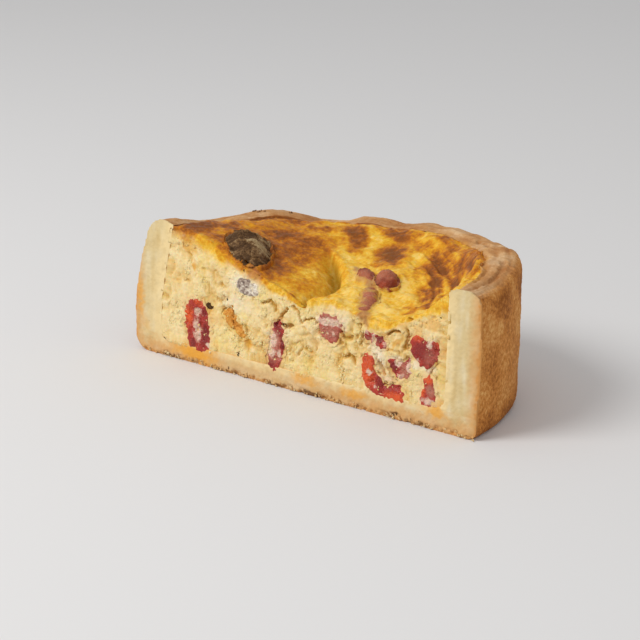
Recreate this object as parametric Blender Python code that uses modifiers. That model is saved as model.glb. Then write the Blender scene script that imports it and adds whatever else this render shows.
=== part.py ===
"""Half of a deep round quiche, cut straight through the middle.

A thick shortcrust case holds baked custard that has sunk in the middle. Roasted
tomato, mushroom and onion show in the cut and on the browned top. Metres, +Z up.
The cut faces -Y, and the base rests on Z = 0.
"""

import math

import bmesh
import bpy
import numpy as np
from mathutils import Vector, noise

MM = 0.001
WELD_DISTANCE = 0.02 * MM

# Pastry case, measured on the half round
OUTER_RADIUS = 77 * MM
CASE_HEIGHT = 47 * MM        # the lowest stretch of the rim; its lumps stand above it
WALL = 13.6 * MM
FLOOR = 7.6 * MM
FLOOR_TILT = 0.8 * MM        # the floor is this much thicker at the right end, and thinner at the left
BASE_CORNER = 3.2 * MM       # rounding between the wall and the base
BASE_DRAW = 0.3 * MM         # the foot of the wall stands this far inside its widest part
WIDEST, SHOULDER = 16 * MM, 35 * MM  # the wall's face is upright between these heights
FLOOR_FILLET = 4 * MM        # rounding between the wall and the floor inside
RIM_OUTER_WIDTH = 6.7 * MM   # from the wall's face to the crown of the rim
RIM_OUTER_DOME = 5.2 * MM
RIM_INNER_DOME = 1.6 * MM    # the rim drops only this far towards the custard
RIM_FOOT = 34 * MM           # lumps and folds fade out down to here
RIM_FOLD = 0.7 * MM          # depth of the small folds along the rim
RIM_FOLD_SIZE = 9 * MM
INNER_RADIUS = OUTER_RADIUS - WALL
WALL_LEVELS = (34 * MM, 22 * MM)  # rings of faces down the inside of the wall

# (angle in degrees, width in degrees, height in mm) of the lumps along the rim
RIM_LUMPS = ((0, 16, 3), (36, 26, 5.2), (60, 16, 2.6), (80, 14, 1.8), (107, 7, 1.6), (134, 13, 2.4),
             (180, 15, 3.8))

# The round isn't true: it swells at the right, and leans in towards its top at the left
SWELL = 1.9 * MM
LEAN_IN = 7 * MM
LEAN_FOOT = 19 * MM
LEAN_TOP = 49 * MM
LEAN_FROM, LEAN_TO = math.radians(95), math.radians(175)

# Custard
FIT_GAP = 0.3 * MM           # clearance between neighbouring solids
TOP_EDGE = 47.8 * MM         # height of the baked top along the wall
TOP_EDGE_LEFT = 3 * MM       # how much higher it stands at the left end
TOP_EDGE_ROUND = 0.6 * MM
BOWL_POWER = 1.7             # how steeply the sunken top climbs to the back wall
RIPPLE = 0.8 * MM
RIPPLE_SIZE = 15 * MM

# (x, z) in mm along the upper edge of the cut, before the left side leans in
CUT_EDGE = ((-62, 51), (-49, 48.4), (-40, 46.4), (-29, 42.2), (-16, 38.4), (-3, 36.4), (7, 33.8),
            (15, 36.6), (22, 35.4), (30, 33.2), (39, 33.8), (48, 36.6), (54.5, 40.6), (60, 45.6), (64, 48.6))
CUT_EDGE_SOFTEN = 2.5        # mm

# A steep-sided hollow behind the cut: its steep side follows a bowed line
HOLLOW_BOW = 0.03            # per mm
HOLLOW_CREST = (8.5, 11)     # the rightmost point of that line, in mm
HOLLOW_DEPTH = 3.4 * MM
HOLLOW_STEEP = 3             # mm across the steep side
HOLLOW_WIDTH = 15            # mm over which it rises again to the left
HOLLOW_FRONT, HOLLOW_BACK = 4, (26, 38)

# Crumb of the cut face
CRAG_CELL = 2.4 * MM
CRAG_DEPTH = 1.5 * MM
CRAG_WAVES = ((8 * MM, 0.45), (3.6 * MM, 0.7))  # size, and share of the depth
CRAG_SEED = Vector((3.1, 0, 7.7))
CUT_INSET = 0.2 * MM         # the custard stays this far behind the pastry's cut
CUTTER_MARGIN = 8 * MM       # how far the crumb's cutter reaches past the quiche

# Turning: case and custard take the same steps, so that their facets stay parallel
TURN_STEPS = 100
CUSTARD_RINGS = 16

# Outlines of the pieces in the cut: (x, z) in mm, and how deep each runs in
CUT_PIECES = {
    "tomato_wedge": (((-47.4, 25), (-51.6, 22), (-51.3, 13), (-49.4, 7.9), (-45.5, 7.5),
                      (-40.8, 8.6), (-40, 13), (-42.8, 23)), 6, "tomato"),
    "tomato_sliver": (((-8.6, 24.4), (-10.8, 21.7), (-11.8, 15), (-12.8, 10), (-9.8, 8.4),
                       (-7, 10.6), (-5.8, 18.8), (-6.4, 23)), 5, "tomato"),
    "tomato_seeded": (((10.6, 30.8), (15, 31.6), (18.8, 30), (18.8, 25), (14.5, 22), (10.6, 24)),
                      5, "tomato"),
    "tomato_crescent": (((31.3, 21.6), (28.6, 15.4), (31.6, 10.9), (37.2, 9), (42.8, 8.9), (47, 9.2),
                         (43.6, 14), (39.2, 12), (37.2, 14), (34.2, 15.8), (33.6, 19.9)), 6, "tomato"),
    "tomato_core": (((39.6, 20.2), (41.2, 16), (45, 14.9), (48.8, 16.3), (49.4, 20), (48, 23.2),
                     (45.4, 20.4), (42.2, 21.4)), 5, "tomato"),
    "tomato_shred": (((30, 28.4), (34, 28), (38.8, 26), (38.4, 24.2), (33.5, 25), (30.2, 25.6)),
                     4, "tomato"),
    "tomato_heart": (((52, 32), (56, 30.6), (59.6, 31), (60.4, 27.5), (58, 23.8), (55.4, 21.9),
                      (51.3, 23.5), (48.8, 27.1), (49.4, 30.6)), 6, "tomato"),
    "tomato_tip": (((56.6, 19.3), (54.6, 14.8), (53.2, 11.8), (56.4, 10.2), (59.6, 12), (59, 15.8)),
                   5, "tomato"),
    "mushroom_slice": (((-28.2, 35.4), (-24, 36.8), (-18.6, 35.8), (-17, 33.6), (-19.2, 31.4),
                        (-24, 31.2), (-27.6, 32.8)), 4, "mushroom"),
    "onion": (((-34, 23.2), (-30.4, 24), (-26.2, 19.6), (-23.4, 15.6), (-25.6, 14.4),
               (-29.6, 17.2), (-33.2, 20)), 4, "onion"),
}
CUT_PIECE_FRONT = 0.3 * MM   # distance of their cut faces behind the pastry's
CUT_PIECE_EDGE = 0.5 * MM
OUTLINE_STEPS = 2            # points between two named points of an outline
POCKET_MOUTH = 2 * MM        # how far a pocket's cutter reaches in front of the cut

# Pieces sunk in the top: (x, y) in mm, length, width and height in mm, turn in degrees,
# the share of the height that stands out, and the material
TOP_PIECES = {
    "mushroom_cap": ((-33, 12), (23, 13, 7), 139, 0.45, "mushroom"),
    "tomato_curl": ((10, 26.5), (13.5, 6, 6), 140, 0.45, "tomato"),
    "tomato_lobe": ((20, 24.5), (9, 7, 7), 125, 0.5, "tomato"),
    "tomato_ribbon": ((22.4, 11.5), (18, 4.6, 4), 119, 0.4, "tomato"),
}
TOP_PIECE_RELIEF = 1 * MM
TOP_PIECE_WRINKLE = 4 * MM   # size of the wrinkles
POCKET_GROWTH = 1.4 * FIT_GAP

COLOURS = {
    "pastry": ((0.78, 0.52, 0.27), 0.75),
    "custard": ((0.90, 0.72, 0.38), 0.55),
    "tomato": ((0.62, 0.09, 0.05), 0.35),
    "mushroom": ((0.28, 0.21, 0.16), 0.6),
    "onion": ((0.72, 0.42, 0.16), 0.45),
}


def clear_scene():
    for old in list(bpy.data.objects):
        bpy.data.objects.remove(old, do_unlink=True)


def new_collection(name):
    collection = bpy.data.collections.new(name)
    bpy.context.scene.collection.children.link(collection)
    return collection


def food_material(name):
    colour, roughness = COLOURS[name]
    material = bpy.data.materials.new(name)
    material.use_nodes = True
    shader = material.node_tree.nodes["Principled BSDF"]
    shader.inputs["Base Color"].default_value = (*colour, 1)
    shader.inputs["Roughness"].default_value = roughness
    shader.inputs["Metallic"].default_value = 0
    return material


def add_object(name, mesh, collection, material=None):
    """A new object that hangs on the quiche's own empty."""
    made = bpy.data.objects.new(name, mesh)
    collection.objects.link(made)
    made.parent = quiche
    if material:
        mesh.materials.clear()
        mesh.materials.append(material)
    return made


def smoothstep(low, high, value):
    t = min(1, max(0, (value - low) / (high - low)))
    return t * t * (3 - 2 * t)


def bell(value, centre, width):
    return math.exp(-((value - centre) / width) ** 2)


def arc(centre, radii, start, end, steps):
    """Points (r, z) of an elliptical arc, with angles in degrees from the outward direction."""
    angles = [math.radians(start + (end - start) * i / steps) for i in range(steps + 1)]
    return [(centre[0] + radii[0] * math.cos(a), centre[1] + radii[1] * math.sin(a)) for a in angles]


def uneven_round(point):
    """Swells the right of the round, and draws the top of its left side in."""
    angle = math.atan2(abs(point.y), point.x)
    swell = SWELL * math.sin(2 * min(angle, math.pi / 2)) ** 2
    height = max(0, point.z - LEAN_FOOT) / (LEAN_TOP - LEAN_FOOT)
    lean = LEAN_IN * smoothstep(LEAN_FROM, LEAN_TO, angle) * height ** 1.3
    share = 1 + (swell - lean) / OUTER_RADIUS
    return Vector((point.x * share, point.y * share, point.z))


def floor_rise(point):
    """How far the inside of the floor stands above its mean height here, fading out up the wall."""
    return FLOOR_TILT * point.x / INNER_RADIUS * (1 - smoothstep(FLOOR, 3 * FLOOR, point.z))


def rim_lift(angle):
    """How much the rim stands above its mean height at this angle."""
    degrees = math.degrees(angle)
    return MM * sum(height * bell(degrees, centre, width) for centre, width, height in RIM_LUMPS)


def cut_edge_height(x):
    """Height of the upper edge of the cut, with the corners between its named points softened."""
    places, heights = zip(*CUT_EDGE)
    near = [x / MM - CUT_EDGE_SOFTEN, x / MM, x / MM + CUT_EDGE_SOFTEN]
    return float(np.mean(np.interp(near, places, heights))) * MM


def hollow_depth(x, y):
    """Depth of the hollow: steep on the right, open to a slow rise on the left."""
    x, y = x / MM, y / MM
    crest_x, crest_y = HOLLOW_CREST
    inside = crest_x - HOLLOW_BOW * (y - crest_y) ** 2 - x
    steep = smoothstep(-0.3 * HOLLOW_STEEP, 0.7 * HOLLOW_STEEP, inside)
    slow = bell(max(0, inside - HOLLOW_STEEP), 0, HOLLOW_WIDTH)
    ends = smoothstep(0, HOLLOW_FRONT, y) * (1 - smoothstep(*HOLLOW_BACK, y))
    return HOLLOW_DEPTH * steep * slow * ends


def custard_height(x, y):
    """Height of the baked top, which sinks from the wall to the middle of the cut."""
    y = max(0, y)
    angle = math.atan2(y, x)
    edge = TOP_EDGE + TOP_EDGE_LEFT * smoothstep(math.radians(135), math.pi, angle)
    chord = math.sqrt(max(INNER_RADIUS ** 2 - x * x, (4 * MM) ** 2))
    back = min(1, y / chord)
    sunk = (edge - cut_edge_height(x)) * (1 - back ** BOWL_POWER)
    ripple = RIPPLE * noise.noise(Vector((x, y, 0)) / RIPPLE_SIZE)
    inland = smoothstep(0, 8 * MM, INNER_RADIUS - math.hypot(x, y))
    return edge - sunk + (ripple - hollow_depth(x, y)) * inland


def turned_mesh(name, profile):
    """The full round that this (r, z) profile makes about the Z axis."""
    mesh = bpy.data.meshes.new(name)
    edges = [(i, i + 1) for i in range(len(profile) - 1)]
    mesh.from_pydata([(r, 0, z) for r, z in profile], edges, [])
    turned = bpy.data.objects.new(name, mesh)
    bpy.context.scene.collection.objects.link(turned)
    screw = turned.modifiers.new("turn", "SCREW")
    screw.steps = TURN_STEPS
    screw.render_steps = TURN_STEPS
    screw.use_merge_vertices = True
    screw.merge_threshold = WELD_DISTANCE
    screw.use_normal_calculate = True
    bpy.context.view_layer.update()
    graph = bpy.context.evaluated_depsgraph_get()
    made = bpy.data.meshes.new_from_object(turned.evaluated_get(graph))
    bpy.data.objects.remove(turned)
    made.name = name
    weld(made)
    return made


def weld(mesh):
    """Joins doubled vertices, as where a curve's caps meet its sides, and turns every face outwards."""
    cage = bmesh.new()
    cage.from_mesh(mesh)
    bmesh.ops.remove_doubles(cage, verts=cage.verts, dist=WELD_DISTANCE)
    bmesh.ops.recalc_face_normals(cage, faces=cage.faces)
    cage.to_mesh(mesh)
    cage.free()


def mesh_from(cage, name):
    mesh = bpy.data.meshes.new(name)
    cage.to_mesh(mesh)
    cage.free()
    return mesh


def reshape(mesh, move):
    """Moves each vertex to move(its place)."""
    for vertex in mesh.vertices:
        vertex.co = move(vertex.co.copy())


def subtract(target, cutters, name):
    """A Boolean cut by all the objects of a collection at once."""
    cut = target.modifiers.new(name, "BOOLEAN")
    cut.operation = "DIFFERENCE"
    cut.solver = "EXACT"
    cut.operand_type = "COLLECTION"
    cut.collection = cutters


def as_cutter(cutter):
    cutter.hide_render = True
    cutter.display_type = "WIRE"


# Pastry case


def case_profile():
    """(r, z) from the middle of the underside, out, up over the rim and back along the floor."""
    corner = (OUTER_RADIUS - BASE_CORNER - BASE_DRAW, BASE_CORNER)
    crown = OUTER_RADIUS - RIM_OUTER_WIDTH
    fillet = (INNER_RADIUS - FLOOR_FILLET, FLOOR + FLOOR_FILLET)
    underside = [(0, 0), (0.5 * OUTER_RADIUS, 0)]
    wall_outside = [(OUTER_RADIUS, z) for z in (WIDEST, (WIDEST + SHOULDER) / 2, SHOULDER)]
    rim_outside = arc((crown, CASE_HEIGHT - RIM_OUTER_DOME), (RIM_OUTER_WIDTH, RIM_OUTER_DOME), 0, 90, 5)
    rim_inside = arc((crown, CASE_HEIGHT - RIM_INNER_DOME), (crown - INNER_RADIUS, RIM_INNER_DOME),
                     90, 180, 4)
    wall_inside = [(INNER_RADIUS, z) for z in WALL_LEVELS]
    floor = [(0.5 * INNER_RADIUS, FLOOR), (0, FLOOR)]
    return (underside + arc(corner, (BASE_CORNER, BASE_CORNER), -90, 0, 5) + wall_outside
            + rim_outside + rim_inside[1:] + wall_inside
            + arc(fillet, (FLOOR_FILLET, FLOOR_FILLET), 0, -90, 4) + floor)


def shape_case(point):
    """Tilts the floor, lifts the lumps and folds of the rim, and then makes the round uneven."""
    angle = math.atan2(abs(point.y), point.x)
    radius = math.hypot(point.x, point.y)
    upper = smoothstep(RIM_FOOT, CASE_HEIGHT, point.z)
    direction = Vector((math.cos(angle), math.sin(angle), 0))
    fold = noise.noise((direction * OUTER_RADIUS + Vector((0, 0, point.z))) / RIM_FOLD_SIZE)
    outer = smoothstep(OUTER_RADIUS - RIM_OUTER_WIDTH, OUTER_RADIUS, radius)
    share = 1 + RIM_FOLD * upper * outer * (fold - 0.6) / OUTER_RADIUS
    lifted = point.z + upper * (rim_lift(angle) + RIM_FOLD * fold)
    if radius <= INNER_RADIUS + 0.01 * MM and point.z >= FLOOR:
        lifted += floor_rise(point)
    return uneven_round(Vector((point.x * share, point.y * share, lifted)))


def make_case(collection, case_cutters):
    cage = bmesh.new()
    bmesh.ops.create_cube(cage, size=4 * OUTER_RADIUS)
    bmesh.ops.translate(cage, verts=cage.verts, vec=(0, -2 * OUTER_RADIUS, 0))
    as_cutter(add_object("half_cutter", mesh_from(cage, "half_cutter"), case_cutters))

    mesh = turned_mesh("pastry_case", case_profile())
    reshape(mesh, shape_case)
    case = add_object("pastry_case", mesh, collection, food_material("pastry"))
    subtract(case, case_cutters, "cut in half")
    mesh.shade_smooth()
    mesh.set_sharp_from_angle(angle=math.radians(50))


# Custard


def custard_profile():
    """(r, z) of the custard with a level top, clear of the case all round."""
    radius = INNER_RADIUS - FIT_GAP
    bottom = FLOOR + FIT_GAP
    fillet = (radius - FLOOR_FILLET, bottom + FLOOR_FILLET)
    side = [(radius, z) for z in reversed(WALL_LEVELS)]
    shoulder = radius - TOP_EDGE_ROUND
    top_corner = arc((shoulder, TOP_EDGE - TOP_EDGE_ROUND), (TOP_EDGE_ROUND, TOP_EDGE_ROUND), 0, 90, 2)
    top = [(shoulder * i / CUSTARD_RINGS, TOP_EDGE) for i in range(CUSTARD_RINGS - 1, -1, -1)]
    return ([(0, bottom), (0.5 * radius, bottom)] + arc(fillet, (FLOOR_FILLET, FLOOR_FILLET), -90, 0, 4)
            + side + top_corner + top)


def shape_custard(point):
    """Stretches the level round up or down to the baked top, and makes it as uneven as the case."""
    bottom = FLOOR + FIT_GAP
    share = (point.z - bottom) / (TOP_EDGE - bottom)
    top = custard_height(point.x, point.y)
    return uneven_round(Vector((point.x, point.y, bottom + share * (top - bottom) + floor_rise(point))))


def crag(x, z):
    """Depth of the torn crumb behind the knife's plane, from 0 to CRAG_DEPTH."""
    waves = sum(share * noise.noise(Vector((x, 0, z)) / size + CRAG_SEED) for size, share in CRAG_WAVES)
    return CRAG_DEPTH * min(1, max(0, 0.5 + waves))


def make_crumb_cutter(custard_cutters):
    """A block whose far side is the torn face of the cut."""
    width = 2 * (OUTER_RADIUS + CUTTER_MARGIN)
    height = CASE_HEIGHT + 2 * CUTTER_MARGIN
    cage = bmesh.new()
    bmesh.ops.create_grid(cage, x_segments=round(width / CRAG_CELL), y_segments=round(height / CRAG_CELL),
                          size=0.5)
    for vertex in cage.verts:
        x = vertex.co.x * width
        z = vertex.co.y * height + CASE_HEIGHT / 2
        vertex.co = Vector((x, CUT_INSET + crag(x, z), z))
    copied = bmesh.ops.extrude_face_region(cage, geom=cage.faces[:])
    for vertex in [item for item in copied["geom"] if isinstance(item, bmesh.types.BMVert)]:
        vertex.co.y = -OUTER_RADIUS
    bmesh.ops.recalc_face_normals(cage, faces=cage.faces)
    as_cutter(add_object("crumb_cutter", mesh_from(cage, "crumb_cutter"), custard_cutters))


def make_custard(collection, custard_cutters):
    mesh = turned_mesh("custard", custard_profile())
    reshape(mesh, shape_custard)
    custard = add_object("custard", mesh, collection, food_material("custard"))
    subtract(custard, custard_cutters, "torn cut and pockets")
    mesh.shade_smooth()
    mesh.set_sharp_from_angle(angle=math.radians(40))


# Pieces of vegetable


def outline_slab(name, outline, grow, front, back, edge=0):
    """A slab of this closed outline in the plane of the cut, from y = front to y = back."""
    curve = bpy.data.curves.new(name, "CURVE")
    curve.dimensions = "2D"
    curve.fill_mode = "BOTH"
    curve.resolution_u = OUTLINE_STEPS
    curve.bevel_depth = edge
    curve.bevel_resolution = 0
    curve.offset = grow - edge
    curve.extrude = (back - front) / 2 - edge
    spline = curve.splines.new("BEZIER")
    spline.bezier_points.add(len(outline) - 1)
    spline.use_cyclic_u = True
    for point, (x, z) in zip(spline.bezier_points, outline):
        point.co = (x * MM, z * MM, 0)
        point.handle_left_type = point.handle_right_type = "AUTO"
    flat = bpy.data.objects.new(name, curve)
    bpy.context.scene.collection.objects.link(flat)
    flat.rotation_euler.x = math.radians(90)
    flat.location.y = (front + back) / 2
    bpy.context.view_layer.update()
    mesh = bpy.data.meshes.new_from_object(flat.evaluated_get(bpy.context.evaluated_depsgraph_get()))
    mesh.transform(flat.matrix_world)
    mesh.name = name
    bpy.data.objects.remove(flat)
    weld(mesh)
    return mesh


def roughen(mesh, depth, size, seed):
    """Pushes each vertex along its normal by smooth noise."""
    normals = [vertex.normal.copy() for vertex in mesh.vertices]
    for vertex, normal in zip(mesh.vertices, normals):
        vertex.co += normal * depth * noise.noise(vertex.co / size + Vector((seed, 0, 0)))


def make_cut_pieces(collection, custard_cutters, materials):
    for name, (outline, depth, material) in CUT_PIECES.items():
        back = CUT_PIECE_FRONT + depth * MM
        mesh = outline_slab(name, outline, 0, CUT_PIECE_FRONT, back, CUT_PIECE_EDGE)
        add_object(name, mesh, collection, materials[material])
        pocket = outline_slab(name + "_pocket", outline, FIT_GAP, -POCKET_MOUTH, back + FIT_GAP)
        as_cutter(add_object(name + "_pocket", pocket, custard_cutters))


def make_top_pieces(collection, custard_cutters, materials):
    for seed, (name, (place, size, turn, standing, material)) in enumerate(TOP_PIECES.items()):
        cage = bmesh.new()
        bmesh.ops.create_icosphere(cage, subdivisions=3, radius=0.5)
        mesh = mesh_from(cage, name)
        centre = Vector((*place, 0)) * MM
        length, width, height = (side * MM for side in size)
        angle = math.radians(turn)
        along = Vector((math.cos(angle), math.sin(angle), 0))
        across = Vector((-math.sin(angle), math.cos(angle), 0))

        def settle(point):
            spot = centre + along * point.x * length + across * point.y * width
            level = custard_height(spot.x, spot.y)
            return uneven_round(Vector((spot.x, spot.y, level + (point.z - 0.5 + standing) * height)))

        reshape(mesh, settle)
        roughen(mesh, TOP_PIECE_RELIEF, TOP_PIECE_WRINKLE, 3 * seed)
        mesh.shade_smooth()
        add_object(name, mesh, collection, materials[material])
        pocket = add_object(name + "_pocket", mesh.copy(), custard_cutters)
        grow = pocket.modifiers.new("clearance", "DISPLACE")
        grow.strength = POCKET_GROWTH
        grow.mid_level = 0
        as_cutter(pocket)


# Assembly

clear_scene()
parts = new_collection("half_quiche")
case_cutters = new_collection("case_cutters")
custard_cutters = new_collection("custard_cutters")

# The empty stands at the middle of the round, so that the half quiche is centred on the origin
quiche = bpy.data.objects.new("quiche_round", None)
parts.objects.link(quiche)
quiche.location = (0, -OUTER_RADIUS / 2, 0)

piece_materials = {name: food_material(name) for name in ("tomato", "mushroom", "onion")}
make_case(parts, case_cutters)
make_crumb_cutter(custard_cutters)
make_cut_pieces(parts, custard_cutters, piece_materials)
make_top_pieces(parts, custard_cutters, piece_materials)
make_custard(parts, custard_cutters)
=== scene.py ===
import math
import random

import bpy
import numpy as np
from mathutils import Matrix, Vector, noise
from mathutils.bvhtree import BVHTree
from mathutils.kdtree import KDTree


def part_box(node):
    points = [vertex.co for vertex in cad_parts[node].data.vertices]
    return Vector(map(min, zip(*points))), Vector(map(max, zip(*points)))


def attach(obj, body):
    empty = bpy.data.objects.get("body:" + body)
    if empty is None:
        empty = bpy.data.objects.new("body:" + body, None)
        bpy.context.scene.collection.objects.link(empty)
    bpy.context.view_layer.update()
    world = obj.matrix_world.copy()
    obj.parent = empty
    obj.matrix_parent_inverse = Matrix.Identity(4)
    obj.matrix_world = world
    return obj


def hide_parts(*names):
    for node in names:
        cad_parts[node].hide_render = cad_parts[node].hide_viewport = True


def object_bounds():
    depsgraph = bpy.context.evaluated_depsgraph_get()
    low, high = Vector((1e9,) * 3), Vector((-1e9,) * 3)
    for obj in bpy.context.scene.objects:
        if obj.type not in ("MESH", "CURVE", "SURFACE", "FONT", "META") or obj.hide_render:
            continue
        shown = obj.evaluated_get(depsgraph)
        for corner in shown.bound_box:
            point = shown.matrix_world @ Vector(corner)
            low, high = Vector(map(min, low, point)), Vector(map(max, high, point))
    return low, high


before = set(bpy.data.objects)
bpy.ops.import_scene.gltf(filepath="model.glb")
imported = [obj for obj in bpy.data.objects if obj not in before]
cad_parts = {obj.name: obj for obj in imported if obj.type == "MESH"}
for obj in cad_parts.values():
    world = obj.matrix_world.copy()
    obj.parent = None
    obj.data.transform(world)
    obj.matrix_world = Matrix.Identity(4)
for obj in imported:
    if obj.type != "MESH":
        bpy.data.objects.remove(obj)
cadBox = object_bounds()
mm = 0.001
cutY = cadBox[0][1]           # plane of the cut; the middle of the round lies on it, at x = 0
toCut = 0, cutY / mm, 0
outerRadius = cadBox[1][0] / mm


# Places are in mm, and their y is counted back from the cut

def readRows(things, name):
    flat = np.empty(len(things) * 3)
    things.foreach_get(name, flat)
    return flat.reshape(-1, 3)


def readPlaces(piece):
    return readRows(piece.data.vertices, "co") / mm - toCut


def writePlaces(piece, places):
    piece.data.vertices.foreach_set("co", ((places + toCut) * mm).ravel())
    piece.data.update()


def readNormals(piece):
    return readRows(piece.data.vertices, "normal")


def smooth(low, high, values):
    t = np.clip((values - low) / (high - low), 0, 1)
    return t * t * (3 - 2 * t)


def fade(low, high, values):
    return 1 - smooth(low, high, values)


def clouds(places, size, seed):           # -1 to 1
    return np.array([noise.noise(Vector(p)) for p in (places / size + 7.31 * seed).tolist()])


def cells(places, size, seed):            # 0 in the middle of a cell, and about 1 at its border
    return np.array([noise.voronoi(Vector(p))[0][0] for p in (places / size + 3.17 * seed).tolist()])


def puffs(places, size, seed, octaves=3):  # about 1 on round lumps, down to 0 in the creases between them
    return np.array([noise.turbulence(Vector(p), octaves, True)
                     for p in (places / size + 5.9 * seed).tolist()])


# How deep each place (u, v) lies in any of the blots, from 0 to 1, with ragged edges.
# A blot is (u, v, half length, half width, turn in degrees, strength)
def blots(places, u, v, spots, ragged=1.5, grain=4, seed=0, core=0.55):
    shift = clouds(places, grain, seed) * ragged, clouds(places, grain, seed + 5) * ragged
    deepest = np.zeros(len(places))
    for spotU, spotV, long, wide, turn, strength in spots:
        du, dv = places[:, u] - spotU + shift[0], places[:, v] - spotV + shift[1]
        cos, sin = math.cos(math.radians(turn)), math.sin(math.radians(turn))
        away = np.hypot((du * cos + dv * sin) / long, (dv * cos - du * sin) / wide)
        deepest = np.maximum(deepest, strength * fade(core, 1.75 - core, away))
    return deepest


def paint(piece, **tones):
    for name, values in tones.items():
        layer = piece.data.attributes.new(name, "FLOAT", "POINT")
        layer.data.foreach_set("value", np.clip(values, 0, 1).astype(np.float32))


def newObject(name, data):
    made = bpy.data.objects.new(name, data)
    bpy.context.scene.collection.objects.link(made)
    return made


def pick(piece):
    bpy.ops.object.select_all(action="DESELECT")
    piece.select_set(True)
    bpy.context.view_layer.objects.active = piece


# A copy of one or more CAD solids, made one, its surface of even little squares.
# All but the first are swollen a little, so that they fill their pockets in it
def copySolids(nodes, name, square):
    copies = []
    for node in nodes:
        copy = newObject(name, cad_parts[node].data.copy())
        copy.data.materials.clear()
        pick(copy)
        bpy.ops.object.mode_set(mode="EDIT")
        bpy.ops.mesh.select_all(action="SELECT")
        bpy.ops.mesh.remove_doubles(threshold=0.02 * mm)
        if copies:
            bpy.ops.transform.shrink_fatten(value=0.45 * mm)
        bpy.ops.object.mode_set(mode="OBJECT")
        copies.append(copy)
    for copy in copies:
        copy.select_set(True)
    piece = copies[0]
    bpy.context.view_layer.objects.active = piece
    if len(copies) > 1:
        bpy.ops.object.join()
    bpy.ops.object.modifier_add(type="REMESH")
    piece.modifiers[0].mode = "VOXEL"
    piece.modifiers[0].voxel_size = square * mm
    bpy.ops.object.modifier_apply(modifier=piece.modifiers[0].name)
    bpy.ops.object.shade_smooth()
    return piece


# Cuts finer the faces for which rule(centres, normals) holds
def cutFiner(piece, cuts, rule):
    faces = piece.data.polygons
    chosen = rule(readRows(faces, "center") / mm - toCut, readRows(faces, "normal"))
    pick(piece)
    bpy.context.tool_settings.mesh_select_mode = (False, False, True)
    bpy.ops.object.mode_set(mode="EDIT")
    bpy.ops.mesh.select_all(action="DESELECT")
    bpy.ops.object.mode_set(mode="OBJECT")
    faces.foreach_set("select", chosen)
    bpy.ops.object.mode_set(mode="EDIT")
    bpy.ops.mesh.subdivide(number_cuts=cuts)
    bpy.ops.object.mode_set(mode="OBJECT")


def treeOf(*pieces):
    corners, faces = [], []
    for piece in pieces:
        faces += [tuple(len(corners) + corner for corner in face.vertices) for face in piece.data.polygons]
        corners += [corner.co for corner in piece.data.vertices]
    return BVHTree.FromPolygons(corners, faces)


# Where a line from above, or from in front of the cut, first meets a piece: z or y in mm, and the
# face there
def surfaceAt(tree, places, fromAbove):
    start = (0, 0, 100) if fromAbove else (0, -100, 0)
    way = Vector((0, 0, -1)) if fromAbove else Vector((0, 1, 0))
    keep = (1, 1, 0) if fromAbove else (1, 0, 1)
    levels, faces = [], []
    for spot in (places * keep + start + toCut) * mm:
        hit, _, face, _ = tree.ray_cast(Vector(spot), way)
        levels.append(np.nan if hit is None else hit.z / mm if fromAbove else (hit.y - cutY) / mm)
        faces.append(-1 if face is None else face)
    return np.array(levels), np.array(faces)


# Distance in mm from each place to the nearest point of a piece
def awayFrom(tree, places, most):
    found = [tree.find_nearest(Vector(spot), most * mm)[3]
             for spot in (places + toCut) * mm]
    return np.array([most if away is None else away / mm for away in found])


# Materials

def feed(tree, socket, value):
    if isinstance(value, bpy.types.NodeSocket):
        tree.links.new(value, socket)
    elif isinstance(value, tuple) and socket.type == "RGBA":
        socket.default_value = (*value, 1)
    else:
        socket.default_value = value


def put(tree, kind, inputs=None, **settings):
    made = tree.nodes.new(kind)
    for name, value in settings.items():
        setattr(made, name, value)
    for name, value in (inputs or {}).items():
        feed(tree, made.inputs[name], value)
    return made


def mixed(tree, share, low, high):
    mixer = put(tree, "ShaderNodeMix", {0: share}, data_type="RGBA")
    feed(tree, mixer.inputs[6], low)
    feed(tree, mixer.inputs[7], high)
    return mixer.outputs[2]


def maths(tree, how, first, second, third=0.0):
    return put(tree, "ShaderNodeMath", {0: first, 1: second, 2: third}, operation=how).outputs[0]


def times(tree, first, second):
    return maths(tree, "MULTIPLY", first, second)


def ramp(tree, value, stops, colours):
    made = put(tree, "ShaderNodeValToRGB", {"Fac": value})
    elements = made.color_ramp.elements
    while len(elements) < len(stops):
        elements.new(1)
    for element, where, colour in zip(elements, stops, colours):
        element.position = where
        element.color = (*colour, 1)
    return made.outputs["Color"]


def ranged(tree, value, low, high, newLow=0.0, newHigh=1.0):
    ends = {1: low, 2: high, 3: newLow, 4: newHigh}
    return put(tree, "ShaderNodeMapRange", {"Value": value} | ends).outputs[0]


def painted(tree, name):
    return put(tree, "ShaderNodeAttribute", attribute_name=name).outputs["Fac"]


# Coats of colour, each where its tone is painted: (tone, share, colour)
def coated(tree, colour, tones, coats):
    for tone, share, over in coats:
        colour = mixed(tree, times(tree, tones[tone], share), colour, over)
    return colour


def newGroup(name, wanted, given):
    group = bpy.data.node_groups.new(name, "ShaderNodeTree")
    for socket, kind in wanted.items():
        group.interface.new_socket(socket, in_out="INPUT", socket_type=kind)
    for socket, kind in given.items():
        group.interface.new_socket(socket, in_out="OUTPUT", socket_type=kind)
    return group, put(group, "NodeGroupInput"), put(group, "NodeGroupOutput")


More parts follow.
